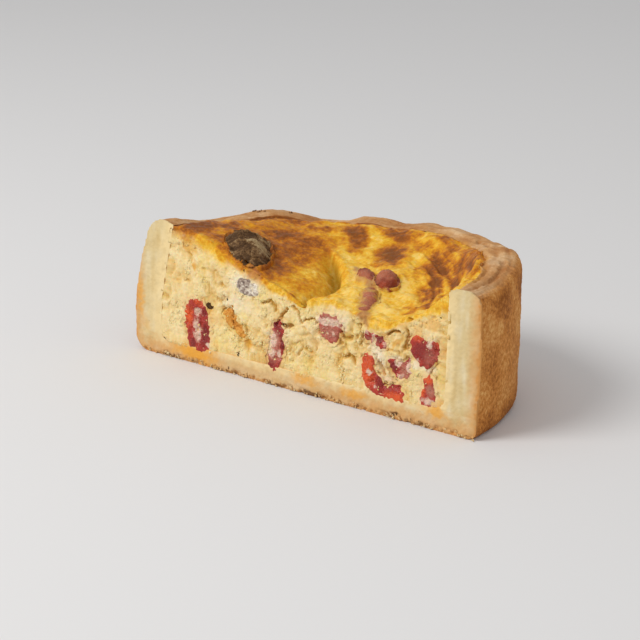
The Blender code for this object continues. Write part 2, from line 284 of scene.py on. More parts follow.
# Clotted crumb: little lumps with creases between them, and pores
def buildCrumbGroup():
    group, start, end = newGroup("crumb", {"Vector": "NodeSocketVector", "Per Metre": "NodeSocketFloat"},
                                 {"Height": "NodeSocketFloat", "Pores": "NodeSocketFloat"})
    lump = put(group, "ShaderNodeTexVoronoi", {"Vector": start.outputs[0], "Scale": start.outputs[1]},
               feature="SMOOTH_F1")
    lump.inputs["Smoothness"].default_value = 0.4
    fine = put(group, "ShaderNodeTexNoise", {"Vector": start.outputs[0], "Detail": 5.0, "Roughness": 0.65,
                                             "Scale": times(group, start.outputs[1], 1.6)})
    height = maths(group, "MULTIPLY_ADD", lump.outputs["Distance"], -0.7, fine.outputs["Fac"])
    feed(group, end.inputs["Height"], height)
    feed(group, end.inputs["Pores"], ranged(group, fine.outputs["Fac"], 0.62, 0.74))
    return group


# Patchy colour: broad clouds broken up by fine mottling
def buildMottleGroup():
    group, start, end = newGroup("mottle", {"Vector": "NodeSocketVector", "Per Metre": "NodeSocketFloat",
                                            "Fine Share": "NodeSocketFloat"}, {"Value": "NodeSocketFloat"})
    broad = put(group, "ShaderNodeTexNoise", {"Vector": start.outputs[0], "Detail": 3.0,
                                              "Scale": start.outputs[1]})
    fine = put(group, "ShaderNodeTexNoise", {"Vector": start.outputs[0], "Detail": 4.0, "Roughness": 0.7,
                                             "Scale": times(group, start.outputs[1], 7.0)})
    both = put(group, "ShaderNodeMix", {0: start.outputs[2]}, data_type="FLOAT")
    feed(group, both.inputs[2], broad.outputs["Fac"])
    feed(group, both.inputs[3], fine.outputs["Fac"])
    feed(group, end.inputs["Value"], ranged(group, both.outputs[0], 0.3, 0.7))
    return group


crumbGroup = buildCrumbGroup()
mottleGroup = buildMottleGroup()


def placeGroup(tree, group, **values):
    made = tree.nodes.new("ShaderNodeGroup")
    made.node_tree = group
    for name, value in values.items():
        feed(tree, made.inputs[name.replace("_", " ")], value)
    return made


def mottled(tree, place, perMetre, fineShare):
    return placeGroup(tree, mottleGroup, Vector=place, Per_Metre=perMetre, Fine_Share=fineShare).outputs[0]


# Crumb as a bump; gives back its pores
def crumble(tree, shader, place, perMetre, strength, distance):
    crumb = placeGroup(tree, crumbGroup, Vector=place, Per_Metre=perMetre)
    heights = {"Height": crumb.outputs["Height"], "Strength": strength, "Distance": distance}
    feed(tree, shader.inputs["Normal"], put(tree, "ShaderNodeBump", heights).outputs[0])
    return crumb.outputs["Pores"]


def newMaterial(name, **settings):
    material = bpy.data.materials.new(name)
    material.use_nodes = True
    tree = material.node_tree
    shader = tree.nodes["Principled BSDF"]
    for socket, value in settings.items():
        shader.inputs[socket.replace("_", " ")].default_value = value
    return material, tree, shader, put(tree, "ShaderNodeTexCoord").outputs["Object"]


def finishWith(piece, material, slotName, *nodes):
    piece.data.materials.clear()
    piece.data.materials.append(material)
    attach(piece, "root")
    if nodes:
        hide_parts(*nodes)


# Small lumps strewn over a surface, all in one mesh

# One size out of (small, middle, large), with the given share of all sizes under the middle one
def drawSize(chance, sizes, share):
    small, middle, large = sizes
    return chance.uniform(small, middle) if chance.random() < share else chance.uniform(middle, large)


def lumpShapes(count, seed):
    shapes = []
    for number in range(count):
        bpy.ops.object.select_all(action="DESELECT")
        bpy.ops.mesh.primitive_ico_sphere_add(subdivisions=2, radius=1)
        lump = bpy.context.active_object
        bumps = bpy.data.textures.new("lump bumps", "CLOUDS")
        bumps.noise_scale = 0.7
        bpy.ops.object.modifier_add(type="DISPLACE")
        lump.modifiers[0].texture = bumps
        lump.modifiers[0].strength = 1.6
        lump.modifiers[0].texture_coords = "GLOBAL"
        lump.location = (seed + 5 * number, 0, 0)
        bpy.ops.object.modifier_apply(modifier=lump.modifiers[0].name)
        corners = np.array([v.co for v in lump.data.vertices])
        shapes.append((corners, [tuple(face.vertices) for face in lump.data.polygons]))
        bpy.data.objects.remove(lump)
    return shapes


# Each spot is (place, (length, width, height)), in mm
def strew(name, spots, seed):
    shapes = lumpShapes(5, seed)
    chance = random.Random(seed)
    corners, faces, start = [], [], 0
    for place, size in spots:
        shape, shapeFaces = chance.choice(shapes)
        turn = np.array(Matrix.Rotation(chance.uniform(0, math.tau), 3, "Y")
                        @ Matrix.Rotation(chance.uniform(-0.7, 0.7), 3, "X"))
        corners.append((shape * size) @ turn.T + place)
        faces += [tuple(corner + start for corner in face) for face in shapeFaces]
        start += len(shape)
    mesh = bpy.data.meshes.new(name)
    corners = np.maximum(np.vstack(corners), (-99, -99, 0.02)) + toCut      # none below the floor
    mesh.from_pydata((corners * mm).tolist(), [], faces)
    piece = newObject(name, mesh)
    pick(piece)
    bpy.ops.object.shade_smooth()
    return piece


# The torn face of the cut, shared by all that it runs through

tearLook = {
    "cracks": (((-4.5, 29.5), (-7.5, 26), (-9.8, 22.5), 0.7, 1.5),
        ((-6.5, 23.6), (-4.5, 22.9), (-2, 24), 0.6, 2), ((39.5, 34.6), (44, 36), (49, 36.6), 0.6, 2.6),
        ((39, 29.2), (41.4, 31), (44, 31), 0.55, 2.0), ((-15.5, 29.5), (-12, 31), (-10, 28), 0.8, 1.2),
        ((21, 17), (24, 19), (26, 16), 0.7, 1.1), ((46, 26), (47.5, 29), (47, 32), 0.8, 1.3),
        ((27, 30), (28.5, 27), (28, 23), 0.7, 1.1), ((34, 21), (36.5, 18), (38, 15), 0.8, 1.3),
        ((1, 14), (3, 16.5), (6, 16), 0.6, 0.8), ((-2, 31), (1, 29), (2, 26), 0.7, 1.3),
        ((4, 27), (7, 28.5), (9, 27), 0.5, 1.2), ((19, 26), (21, 24), (24, 25), 0.7, 1.2),
        ((14, 7.4), (20, 8.2), (26, 7.6), 0.4, 0.8)),
}


# How deep the cracks run at each place, in mm. A crack is its corners in the plane (u, v), then half
# its width and its depth
def crackDepths(places, cracks, plane=(0, 2)):
    found = np.zeros(len(places))
    spots = places[:, plane] + 0.7 * np.stack((clouds(places, 1.6, 31), clouds(places, 1.6, 32)), 1)
    for crack in cracks:
        corners, width, depth = np.array(crack[:-2]), crack[-2], crack[-1]
        for start, end in zip(corners, corners[1:]):
            run = end - start
            share = np.clip((spots - start) @ run / (run @ run), 0, 1)
            away = np.hypot(*(spots - start - share[:, None] * run).T)
            found = np.maximum(found, depth * fade(0.3, 1.2, away / width))
    return found


# Depth in mm behind the plane of the cut, and the part of it that is crevices between the curds
def tornDepths(places):
    flat = places * (1, 0, 1)
    x, _, z = places.T
    none = np.zeros(len(places))
    warped = flat + 1.0 * np.stack((clouds(flat, 2.6, 21), none, clouds(flat, 2.6, 22)), 1)
    curdled = 0.3 + 0.7 * smooth(-0.35, 0.25, clouds(flat, 10, 23))
    lumps = fade(0, 0.8, puffs(warped, 4.4, 24, 2))
    curds = cells(warped, 2.2, 25) ** 2
    pits = smooth(0.28, 0.6, clouds(warped, 2.1, 26))
    strands = clouds(np.stack((x + 0.3 * z, none, 0.3 * z), 1), 1.5, 29)
    fibrous = smooth(-30, -46, x - 0.3 * (z - 30))
    crevices = curdled * (0.8 * lumps + 0.75 * curds + 0.7 * pits) * (1 - 0.4 * fibrous)
    crevices += 0.35 * (strands + 0.4) * fibrous + crackDepths(places, tearLook["cracks"])
    broad = 0.5 + 0.7 * clouds(flat, 9, 27)
    torn = 0.2 + 0.4 * broad + crevices + 0.2 * clouds(flat, 1.0, 28)
    return np.maximum(torn, 0.05), crevices


# Pastry case

crustLook = {
    "square": 0.95, "cutCuts": 2, "rimCuts": 1, "rounding": 55, "grainSize": 1.3, "grainDepth": 0.3,
    "waveSize": 10, "waveDepth": 0.5, "foldDepth": 0.55, "cutCrumb": 0.22, "tearShare": 0.35,
    "chipDepth": 0.9, "leftFoot": 2.5,
    "lobes": ((51, 40, 4.0, 1.9), (45, 47, 3.5, 1.3), (57, 30, 3.6, 2.2), (-26, 60, 4.5, 0.8),
        (-16, 64, 4, 0.8)),
    "rimCreases": (((63.5, 1), (64.5, 12), (62, 24), (57, 33), 1.1, 1.2),
        ((69, 3), (69.5, 14), (67, 26), (63, 34), 1.3, 1.1), ((50, 46), (44, 53), (36, 59), 1.1, 0.9),
        ((61, 27), (65, 31), (69, 32), 1.0, 0.9)),
    "rimHeights": ((8, 0.3), (20, 1.0), (30, 1.5), (40, 1.5), (48, -0.1), (56, -1.4), (64, -0.7),
        (73, 0.8), (88, 1.0), (94, 0.5), (101, 1.3), (107, 0), (112, -1.5), (121, -1.5), (127, 0),
        (133, 1.3), (143, 1.5), (151, 1.0), (162, 0.7), (170, 1.0), (178, 1.3)),
    "wallColours": ((0.30, 0.095, 0.016), (0.62, 0.24, 0.05), (0.83, 0.46, 0.15)),
    "rimColours": ((0.42, 0.175, 0.055), (0.60, 0.33, 0.135), (0.75, 0.51, 0.28)),
    "cutColours": ((0.60, 0.435, 0.195), (0.67, 0.52, 0.27), (0.73, 0.61, 0.38)),
    "edgeColour": (0.62, 0.29, 0.085), "stainColour": (0.76, 0.36, 0.055),
    "lapColour": (0.34, 0.12, 0.028), "smearColour": (0.64, 0.33, 0.06),
    "scorchColour": (0.13, 0.045, 0.015), "nearColour": (0.85, 0.65, 0.33),
    "stains": ((-47, 4, 11, 2.8, -4, 1), (-43, 6.8, 7, 1.6, -10, 0.8), (4, 5.5, 6, 1.8, -3, 0.75),
        (26, 5, 6, 1.7, 3, 0.75), (60, 6.8, 4.5, 1.8, 0, 0.85), (-73.5, 20, 1.4, 9, 3, 0.6),
        (-71, 11, 2, 4, 5, 0.3)),
    "scorches": ((-8, 0.5, 4, 0.9, 0, 0.8), (8, 0.5, 6, 1.0, 0, 0.85), (43.5, 2.1, 2.2, 0.6, 10, 0.9),
        (55, 0.5, 5, 0.7, 0, 0.6), (-58, 0.6, 7, 0.9, 0, 0.6), (-30, 0.4, 8, 0.6, 0, 0.4)),
    "bakes": ((16, 44, 13, 5, -6, 1), (40, 45, 9, 4, 5, 0.7), (30, 0, 70, 7, 0, 1),
        (150, 44, 25, 3, 2, 0.5), (205, 30, 14, 6, 20, 0.4), (95, 22, 18, 8, -10, 0.35)),
    "crumbs": 190, "crumbSpan": (-70, 76), "crumbSizes": (0.12, 0.32, 0.55),
    "crumbsBehind": ((141, 66), (140.2, 66.8), (142.2, 66.4), (139.4, 65.8), (143, 66.6), (141.6, 65.4),
        (131, 66.4), (130.4, 66.8)),
}


def sculptCrust(crust, fillingTree):
    look = crustLook
    places, normals = readPlaces(crust), readNormals(crust)
    x, y, z = places.T
    radius, angle = np.hypot(x, y), np.arctan2(y, x)
    onCut = fade(0.4, 1.4, y)
    outwards = (normals[:, 0] * x + normals[:, 1] * y) / np.maximum(radius, 1)
    rim = smooth(42.5, 46, z + 0.8 * clouds(places, 5, 1)) * smooth(0.85, 0.4, outwards)
    outward = places * (1, 1, 0) / np.maximum(radius, 1)[:, None]

    # Fine grain and a slow wave go inwards, so that the case keeps its size
    grain = look["grainDepth"] * cells(places, look["grainSize"], 2) * (1 - 0.6 * rim)
    wave = look["waveDepth"] * (0.5 + clouds(places, look["waveSize"], 3))
    along = np.stack((angle * outerRadius / 20, radius / 3.4, 0 * angle), 1)
    creases = 1 - puffs(along, 1, 4, 2)
    creased = crackDepths(places, look["rimCreases"], (0, 1))
    folds = look["foldDepth"] * np.maximum(creases, 0) ** 2 + creased
    inwards = (grain + wave + folds * rim) * (1 - onCut) * smooth(0, 1.5, z)
    moved = places - normals * inwards[:, None]
    turns, lifts = zip(*look["rimHeights"])
    moved[:, 2] += np.interp(np.degrees(angle), turns, lifts) * smooth(43, 48, z)
    for lobeX, lobeY, size, height in look["lobes"]:
        lobe = height * np.exp(-((x - lobeX) ** 2 + (y - lobeY) ** 2) / size ** 2)
        moved -= outward * (lobe * smooth(43, 47, z))[:, None]

    # The cut is finely crumbly, meets the torn custard without a step, and is chipped below
    flat = places * (1, 0, 1)
    torn, _ = tornDepths(places)
    away = awayFrom(fillingTree, places, 9)
    leftwards = smooth(-45, -62, x)
    unevenly = away + 1.8 * clouds(flat, 2.2, 5) + 0.8 * clouds(flat, 0.9, 20)
    near = fade(0.5, 5 + 4 * leftwards, unevenly)
    touching = fade(1.0, 4 + 4 * leftwards, away)
    crumbly = look["cutCrumb"] * (cells(flat, 1.3, 6) + 0.9 * (clouds(flat, 4, 7) + 0.5))
    low = fade(0.5, 2.8, z)
    chips = smooth(-0.1, 0.5, clouds(flat, 1.4, 8) + 0.7 * clouds(flat, 5, 9)) * low
    depth = crumbly + (look["tearShare"] * torn - crumbly) * touching + look["chipDepth"] * chips
    depth += 0.1 * fade(0.5, 1.8, away)
    facing = smooth(0.1, 0.5, -normals[:, 1]) * fade(0.9, 1.6, y)
    facing *= (outerRadius - radius > 3) & (z > 3)
    onCut = np.maximum(onCut, facing)
    moved[:, 1] += depth * onCut - y * facing

    # The foot is rounder at the left end
    foot = smooth(-66, -77, x) * fade(0, 7, z) ** 2
    moved[:, 0] += look["leftFoot"] * foot
    moved[:, 1:] = np.maximum(moved[:, 1:], 0)
    writePlaces(crust, moved)
    pick(crust)
    bpy.ops.object.shade_smooth_by_angle(angle=math.radians(look["rounding"]))

    ragged = 1.1 * clouds(flat, 2.4, 10) + 0.7 * clouds(flat, 0.9, 11)
    under = fade(-0.3, 2.8, z + ragged)
    tan = 0.42 + 0.28 * smooth(5, 45, np.abs(x + 12))
    under = np.maximum(under, tan * fade(1.5, 9, z + 2 * ragged))
    inside = radius - outerRadius + ragged
    outer = np.maximum(0.7 * smooth(-6.5, -1, inside), smooth(-2.4, -0.7, inside))
    wallWay = np.stack((x / 1.8, 0 * angle, z / 10), 1)
    floorWay = np.stack((x / 9, 0 * angle, z / 1.8), 1)
    streaks = np.where(z > 8, clouds(wallWay, 1, 13), clouds(floorWay, 1, 14))
    lapWidth = 0.7 + 1.1 * smooth(1.3, 1.9, angle)
    fromFilling = awayFrom(fillingTree, places, 7) + 0.8 * clouds(places, 2, 15)
    lap = fade(0.5, 1, fromFilling / lapWidth)
    smeared = fromFilling + 2.2 * clouds(along * (4, 1, 1), 0.8, 17)
    smear = fade(0.5, 5.5, smeared) * smooth(1.5, 0.9, angle)
    unrolled = np.stack((angle * outerRadius, radius, z), 1)
    bake = blots(unrolled, 0, 2, look["bakes"], 3, 6, 19, 0.2) + 0.55 * (0.35 + clouds(places, 11, 18))
    # Creases on the rim are painted darker: painted shade in the creases
    crease = np.maximum(0.8 * smooth(0.2, 0.9, creases), smooth(0.1, 0.8, creased))
    stain = blots(places, 0, 2, look["stains"], 1.9, 1.7, 12, 0.3)
    scorch = blots(places, 0, 2, look["scorches"], 0.9, 1.6, 13, 0.4)
    high = smooth(44, 46, z) * smooth(0.5, 3, y)
    paint(crust, cutFace=onCut, rim=rim, bake=bake, crease=crease * rim, edge=np.maximum(under, outer),
          streak=0.5 + 0.5 * streaks + 0.4 * clouds(flat, 5, 16), near=near, lap=lap * high,
          smear=smear * high, stain=stain, scorch=scorch)
    finishWith(crust, crustMaterial(), "pastry", "pastry_case")


crustTones = "cutFace", "rim", "bake", "crease", "edge", "streak", "near", "lap", "smear", "stain", "scorch"


def crustMaterial():
    look = crustLook
    material, tree, shader, place = newMaterial("baked shortcrust", Roughness=0.75, Specular_IOR_Level=0.1)
    tones = {tone: painted(tree, tone) for tone in crustTones}
    grain = mottled(tree, place, 110.0, 0.72)
    baked = maths(tree, "MULTIPLY_ADD", tones["bake"], -0.45, maths(tree, "ADD", grain, 0.12))
    wall = ramp(tree, baked, (0.02, 0.5, 0.92), look["wallColours"])
    soft = mottled(tree, place, 90.0, 0.4)
    rim = ramp(tree, soft, (0.1, 0.5, 0.85), look["rimColours"])
    # The creases are painted in the darkest wall colour, as painted shade
    rim = coated(tree, rim, tones, (
        ("crease", 0.5, look["wallColours"][0]), ("smear", 0.8, look["smearColour"])))
    pale = maths(tree, "MULTIPLY_ADD", soft, 0.3, times(tree, tones["streak"], 0.7))
    cut = ramp(tree, pale, (0.15, 0.5, 0.85), look["cutColours"])
    cut = coated(tree, cut, tones, (
        ("near", 0.85, look["nearColour"]), ("edge", 1.0, look["edgeColour"]),
        ("stain", 1.0, look["stainColour"]), ("scorch", 1.0, look["scorchColour"])))
    colour = coated(tree, wall, tones, (
        ("rim", 1.0, rim), ("cutFace", 1.0, cut), ("lap", 1.0, look["lapColour"])))
    strength = ranged(tree, tones["cutFace"], 0.0, 1.0, 0.55, 0.3)
    pores = crumble(tree, shader, place, 1100.0, strength, 0.0003)
    # Pores are painted in the darkest wall colour: painted shade in the little holes, weaker on the cut
    # face
    dark = maths(tree, "MULTIPLY_ADD", tones["cutFace"], -0.2, 0.35)
    colour = mixed(tree, times(tree, pores, dark), colour, look["wallColours"][0])
    feed(tree, shader.inputs["Base Color"], colour)
    return material


# Crumbs of pastry along the lower edge of the cut, and a few on the lump at the back of the rim
def makeCrumbs(crustTree):
    chance = random.Random(4)
    spots, values = [], []
    while len(spots) < crustLook["crumbs"]:
        x = chance.uniform(*crustLook["crumbSpan"])
        if noise.noise(Vector((x / 5, 0, 2))) + chance.uniform(-0.2, 0.5) < 0.15:
            continue
        size = drawSize(chance, crustLook["crumbSizes"], 0.9)
        height = 1.3 * size + 1.8 * chance.random() ** 2
        spots.append(((x, chance.uniform(0.0, 0.35), height), (size * 1.5, size * 0.6, size)))
        values.append((chance.uniform(0, 0.75), 0.7 * (chance.random() < 0.06)))
    for turn, away in crustLook["crumbsBehind"]:
        x, y = away * math.cos(math.radians(turn)), away * math.sin(math.radians(turn))
        top = surfaceAt(crustTree, np.array([(x, y, 0)]), True)[0][0]
        size = chance.uniform(0.3, 0.5)
        spots.append(((x, y, top), (size * 1.4, size, 0.6 * size)))
        values.append((0.6, 0.85))
    crumbs = strew("crust_crumbs", spots, 4)
    edge, scorch = np.repeat(values, len(crumbs.data.vertices) // len(spots), axis=0).T
    same = dict.fromkeys(crustTones, 0 * edge) | {"cutFace": 0 * edge + 1, "streak": 0 * edge + 0.5}
    paint(crumbs, **same | {"edge": edge, "scorch": scorch})
    return crumbs


# Custard: crumbly where it is cut, with a browned skin on top

fillingLook = {
    "square": 1.0, "cutCuts": 2, "topCuts": 1, "touch": 0.2, "cutTouch": 1.1,
    "curds": 800, "curdSpan": (-60, 63), "curdHeights": (6, 50), "curdSizes": (0.2, 0.42, 0.8),
    "curdDepth": 3.5,
    "browned": ((-36, 27, 30, 19, 60, 0.5), (-24, 25, 22, 11, 78, 0.72), (-33, 33, 10, 6, 60, 0.88),
        (-22, 36, 8, 6, 40, 0.8), (-29, 21, 9, 5, 80, 0.84), (-18, 11, 12, 5.5, 100, 0.76),
        (-32, 12, 15, 10, -50, 1.0), (-52, 9, 13, 7.5, 85, 0.95), (-47, 19, 10, 5, 70, 0.78),
        (-41, 7, 12, 5, 10, 0.72), (-29, 2, 12, 3.5, -5, 0.7), (-37, 45, 14, 3.5, 45, 0.62),
        (-26, 47, 7, 3, 20, 0.72), (-14, 51.5, 8, 4.4, -25, 1.0), (-9, 46.5, 7, 4, -55, 0.98),
        (7.5, 46, 9.5, 6.8, -60, 1.0), (2, 58.5, 10, 4.2, -10, 0.85), (9.5, 44, 7.5, 4.6, -60, 1.0),
        (15.5, 53, 4.5, 3, 0, 0.66), (21, 58, 6, 2, -22, 0.62), (28.5, 45, 11, 5.6, -62, 0.72),
        (34.5, 35, 6.5, 3.4, -62, 0.74), (44, 40, 15, 7.5, -52, 0.58), (46, 34, 8, 3.2, -62, 0.66),
        (51.5, 31, 7, 2.6, -70, 0.66), (39, 25, 9, 3.6, -38, 0.55), (45, 17, 8, 3, 72, 0.6),
        (41, 11, 7, 1.6, -48, 0.42), (3, 4.5, 6, 2.2, 10, 0.4), (-7, 12, 8, 5, 70, 0.36),
        (-3, 3.2, 5, 1.6, 0, 0.5)),
    "bare": ((4, 26, 9, 3.5, -64, 1), (13, 16, 9, 4, -60, 0.8), (-4, 42, 9, 4, 80, 0.7),
        (19, 48, 8, 3.6, 70, 0.7), (30, 24, 9, 4, -50, 0.7), (32, 9, 9, 4, -40, 0.6),
        (39, 46, 8, 2, -52, 0.5), (17, 4, 7, 2.5, 0, 0.8)),
    "bulges": ((29, 12, 4.5, 1.3), (36, 8.5, 4.5, 1.3), (32, 21, 5.5, 1.0), (42, 12, 3.5, 0.9),
        (22, 5, 3, 0.8), (15.5, 4, 3.2, 1.0), (14, 14, 4.5, 0.8), (37, 28, 5, 0.8), (-12, 58, 6, 0.7),
        (48, 22, 4, 0.7), (34, 2.5, 4, 1.2), (45, 3, 3, 0.9)),
    "mauve": ((16, 23, 6, 3, -25, 0.9), (10, 26.5, 8, 3.4, -42, 0.8), (21.5, 24.5, 4, 3.4, 0, 0.5),
        (18.5, 18, 6, 1.8, -58, 0.9), (23, 9.5, 9, 1.8, -62, 0.8), (28, 2.5, 4, 2.4, -50, 0.9),
        (3.5, 31, 4, 1.6, -35, 0.8), (-20, 1.5, 4, 1.6, -20, 0.6)),
    "stains": ((-46, 6.5, 9, 2.4, -8, 0.55), (-36, 19, 6, 3, 0, 0.4), (-41.5, 20.5, 1.8, 3, 0, 0.6),
        (-22, 13.3, 2.2, 2.2, 0, 0.75), (4, 8.4, 5, 1.2, -5, 0.4), (60, 9.5, 4, 1.4, 0, 0.6),
        (-35.5, 42.4, 3, 2, -15, 0.9), (-43.5, 46, 6, 2.2, -12, 0.75), (-50, 44, 4, 3.2, -20, 0.6),
        (-47.5, 37, 1.3, 1.4, 0, 0.95), (57, 36.5, 5, 2.6, 10, 0.6), (43, 34, 6, 1.8, 10, 0.5),
        (19, 15.6, 2.6, 2.4, 0, 0.4), (-31, 20, 5, 3.5, -45, 0.4), (-24, 40.5, 9, 1.6, -14, 0.5),
        (-8, 36.3, 7, 1.6, -20, 0.4), (42.5, 26.6, 4.4, 0.8, 40, 0.8), (-37, 9, 2, 2, 0, 0.3),
        (52, 33.5, 2, 2.4, 0, 0.5), (-55, 30, 1.5, 1.2, 0, 0.35), (-58, 35, 1.5, 2.5, 0, 0.3)),
    "milky": ((-24, 34.5, 8, 4, 0, 0.7), (-28, 27, 7, 4, 0, 0.5), (-11.8, 15, 1.6, 6, 0, 0.8),
        (14.5, 28.6, 6, 2.2, 0, 0.9), (19.5, 29, 3, 3, 0, 0.6), (35.5, 21.5, 3, 5.5, 25, 0.8),
        (43.5, 21, 3, 2, 0, 0.7), (57, 29.5, 1.5, 2, 0, 0.9), (57.5, 9.6, 4.2, 1.4, 0, 0.9),
        (54, 21, 6, 1.4, 0, 0.7), (40, 14, 3, 1.6, 0, 0.6), (8, 22, 5, 5, 0, 0.15),
        (-6, 20, 4, 6, 0, 0.15)),
    "skinDrops": ((-53, 5, 1.6), (-43, 4, 2.6), (-36, 4, 3.4), (-27, 6, 1.6), (-10, 8, 0.8), (2, 4, 0.8),
        (13, 5, 1.2), (33, 6, 3.4), (43, 4, 1.0), (57, 5, 2.2)),
    "climb": {"rim": 67, "belowRim": 0.8, "start": 54.5, "end": 63.4, "most": 6}, "clearRadius": 57,
    "crumbColours": ((0.85, 0.68, 0.37), (0.77, 0.55, 0.23), (0.58, 0.31, 0.06)),
    "milkColour": (0.84, 0.75, 0.60), "yolkColour": (0.80, 0.60, 0.17),
    "skinColours": ((0.85, 0.58, 0.15), (0.79, 0.46, 0.045), (0.68, 0.315, 0.018), (0.54, 0.195, 0.014),
        (0.36, 0.11, 0.016), (0.21, 0.067, 0.015)),
    "stainColour": (0.74, 0.36, 0.045), "blushColour": (0.74, 0.34, 0.15),
    "mauveColour": (0.36, 0.15, 0.085), "shadeColour": (0.20, 0.10, 0.008),
}
custardTones = ("skin", "crevice", "browned", "shade", "blush", "mauve", "stain", "milky")
hollowLook = {
    "bow": 0.03, "crest": (6.6, 11), "depth": 4.4, "lip": 1.3, "width": 5.5, "back": (30, 40),
}


# How far each place lies to the left of the hollow's crest, and how much of the hollow there is there
def hollowAt(places):
    look = hollowLook
    x, y, _ = places.T
    inside = look["crest"][0] - look["bow"] * (y - look["crest"][1]) ** 2 - x
    inside += 0.8 * clouds(places, 4, 41)
    share = smooth(0, 4, y) * fade(*look["back"], y)
    return inside, share


# How far the skin climbs at the wall, so that it runs out on the rim: least at the right end of the cut
def climbAt(places, radius, angle, caseTree):
    look = fillingLook["climb"]
    turns = np.linspace(0.02, math.pi - 0.02, 120)
    around = np.stack((look["rim"] * np.cos(turns), look["rim"] * np.sin(turns), 0 * turns), 1)
    rimTops = surfaceAt(caseTree, around, True)[0]
    level = np.interp(angle, turns, rimTops) - look["belowRim"] - places[:, 2]
    share = 0.25 + 0.75 * smooth(0.0, 0.25, angle)
    start = look["start"] - 7 * smooth(2.3, 2.9, angle)
    return np.clip(level, 0, look["most"]) * share * smooth(start, look["end"], radius)


def sculptFilling(filling, caseTree, tomatoTree, topTree):
    look = fillingLook
    places, normals = readPlaces(filling), readNormals(filling)
    x, y, z = places.T
    radius, angle = np.hypot(x, y), np.arctan2(y, x)
    clear = places * np.minimum(1, look["clearRadius"] / np.maximum(radius, 1))[:, None]
    tops, _ = surfaceAt(treeOf(filling), np.maximum(clear, (-99, 3, 0)), True)
    under = np.nan_to_num(tops - z)        # how far each place lies under the top, inside the flaring wall
    onTop = fade(0.6, 1.6, under)
    onCut = fade(1.6, 3, y) * smooth(-0.1, 0.5, -normals[:, 1])
    torn, crevices = tornDepths(places)
    fromCase = awayFrom(caseTree, places, 5)
    torn *= 0.35 + 0.65 * smooth(0, 4, fromCase)
    torn -= 0.22 * fade(1, 3, fromCase)            # so that the custard laps over the seam
    moved = places.copy()
    moved[:, 1] += (torn - y) * onCut

    # Skin on top: folds along the wall at the right, bulges, and the hollow's sharp side
    along = np.stack((angle * 3, radius / 3.2, 0 * angle), 1)
    folded = smooth(34, 50, radius) * smooth(1.35, 1.0, angle) * smooth(0.1, 0.35, angle)
    ridges = puffs(along, 1, 7, 2) - 0.5
    dimples = 0.55 * clouds(places, 5, 8) + 0.35 * clouds(places, 2.2, 9) + 0.15 * clouds(places, 0.9, 16)
    bulges = np.zeros(len(places))
    for bulgeX, bulgeY, size, height in look["bulges"]:
        away = np.hypot(x - bulgeX, y - bulgeY) / size + 0.3 * clouds(places, 4, 17)
        bulges = np.maximum(bulges, height * fade(0, 1, away))
    inside, share = hollowAt(places)
    fall = np.exp(-(np.maximum(inside - 1.2, 0) / hollowLook["width"]) ** 2)
    hollow = hollowLook["depth"] * smooth(-0.4, 0.8, inside) * fall
    lip = hollowLook["lip"] * np.exp(-((inside + 2.0) / 2.4) ** 2)
    ragged = 0.8 * clouds(places, 1.8, 10) * fade(0.5, 3, y)
    climb = climbAt(places, radius, angle, caseTree)
    lifted = 2.0 * ridges * folded + dimples + bulges + (lip - hollow) * share + ragged + climb
    moved[:, 2] += lifted * onTop

    # Custard and pastry touch, where the solids keep a little clearance
    caseAway = np.full(len(places), 9.0)
    for index in np.nonzero((radius > 50) | (z < 12))[0]:
        spot = Vector(moved[index] * mm) + Vector((0, cutY, 0))
        near, _, _, away = caseTree.find_nearest(spot, 9 * mm)
        if near and away > 0:
            away /= mm
            caseAway[index] = away
            cut = y[index] < 3 and under[index] > 1
            touch, reach = (look["cutTouch"], 2.4) if cut else (look["touch"], 1.5)
            pull = (away + touch) * float(smooth(reach, 0.6 * reach, away))
            moved[index] += np.array((near - spot) / (away * mm)) * pull
    moved[:, 1] = np.maximum(moved[:, 1], 0.05)
    writePlaces(filling, moved)

    drop = sum(deep * np.exp(-((x - at) / wide) ** 2) for at, wide, deep in look["skinDrops"])
    edge = under - drop + 1.4 * clouds(places, 3, 13) + 0.8 * clouds(places, 1.1, 14)
    skin = fade(0.0, 1.8 + 2.4 * smooth(0, -25, x), edge)
    ringWidth = 1 + 3.5 * smooth(1.2, 2.0, angle)
    fromWall = (caseAway + 1.2 * clouds(places, 3, 18)) / ringWidth
    ring = (0.5 + 0.4 * smooth(0.9, 1.5, angle)) * fade(0.3, 1, fromWall)
    browned = np.maximum(blots(places, 0, 1, look["browned"], 2.6, 3.4, 11, 0.2), ring)
    browned = 0.2 + 0.84 * browned - 0.2 * blots(places, 0, 1, look["bare"], 2, 3, 12, 0.2)
    speckled = 0.16 * clouds(places, 2.7, 22) + 0.18 * clouds(places, 1.3, 19)
    browned += speckled + 0.1 * clouds(places, 0.7, 20)
    # Fold crests at the right are painted paler and their troughs browner: painted highlight and painted
    # shade on the folds
    browned -= 0.8 * ridges * folded + 0.1 * np.clip(under, 0, 5) * smooth(10, -30, x)
    browned += 0.12 * np.exp(-((inside + 2.0) / 2.4) ** 2) * share
    blush = fade(0.0, 2.0, awayFrom(tomatoTree, places, 3) + 1.4 * clouds(places, 1.5, 33))
    soaked = fade(0.1, 1.6, awayFrom(topTree, places, 4) + 0.9 * clouds(places, 2, 34))
    shade = smooth(-0.3, 0.6, inside) * np.exp(-(np.maximum(inside - 0.6, 0) / 4) ** 2) * share
    cutOnly = fade(1.6, 3, y)
    mauve = np.maximum(blots(places, 0, 1, look["mauve"], 1.1, 1.8, 16, 0.5), 0.6 * soaked)
    stain = blots(places, 0, 2, look["stains"], 1.6, 2.2, 15) * cutOnly
    milky = blots(places, 0, 2, look["milky"], 1.6, 2.2, 17, 0.3) * cutOnly
    # crevice paints the crevices between the curds darker, as painted shade
    paint(filling, skin=skin, crevice=smooth(0.1, 1.5, crevices), browned=browned, shade=shade, blush=blush,
          mauve=mauve, stain=stain, milky=milky)
    finishWith(filling, fillingMaterial(), "custard", "custard")


